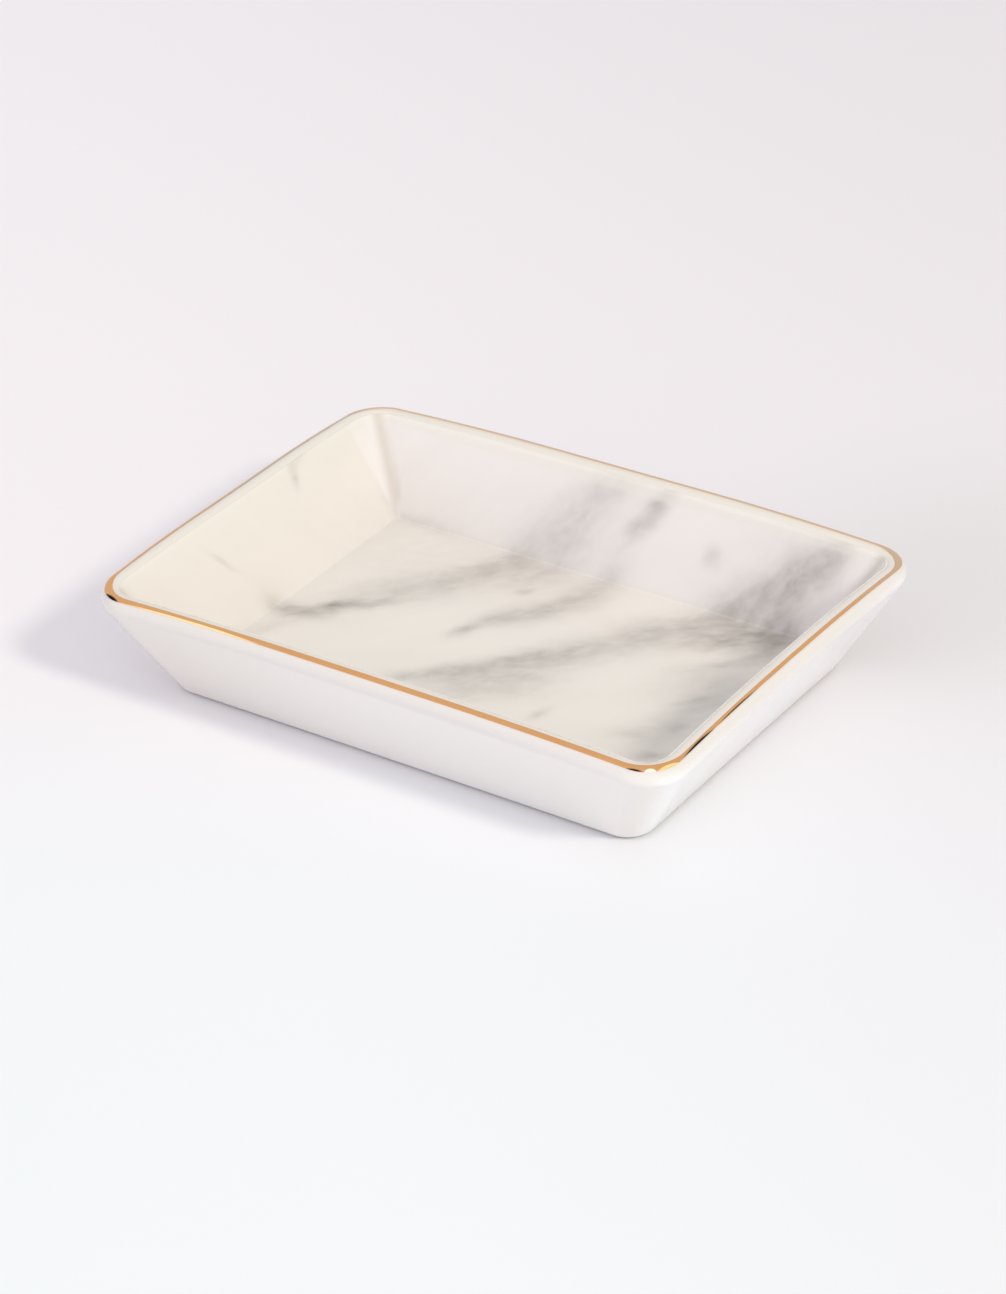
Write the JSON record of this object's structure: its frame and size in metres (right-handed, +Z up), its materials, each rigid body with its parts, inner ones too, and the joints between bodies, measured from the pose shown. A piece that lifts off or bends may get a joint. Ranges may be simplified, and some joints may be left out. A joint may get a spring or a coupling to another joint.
{
  "type": "ring dish",
  "caption": "Small oblong ceramic dish with flared walls, a round lip, a marble-pattern inside and a thin gold line along the rim, for rings and trinkets.",
  "frame": {"origin": "middle of the foot, on the surface that the dish stands on", "axes": "+X along the dish, +Y across it, +Z up"},
  "size_m": [0.1378, 0.0986, 0.025],
  "materials": {
    "clay": "unglazed, fine matt, bare only on the foot",
    "glaze": "bright white gloss glaze",
    "print": "grey-veined marble print under a clear gloss",
    "gold": "bright fired gold lustre"
  },
  "bodies": {
    "root": {"clay_body": "clay", "white_glaze": "glaze", "marble_print": "print", "gold_band": "gold"}
  },
  "joints": []
}
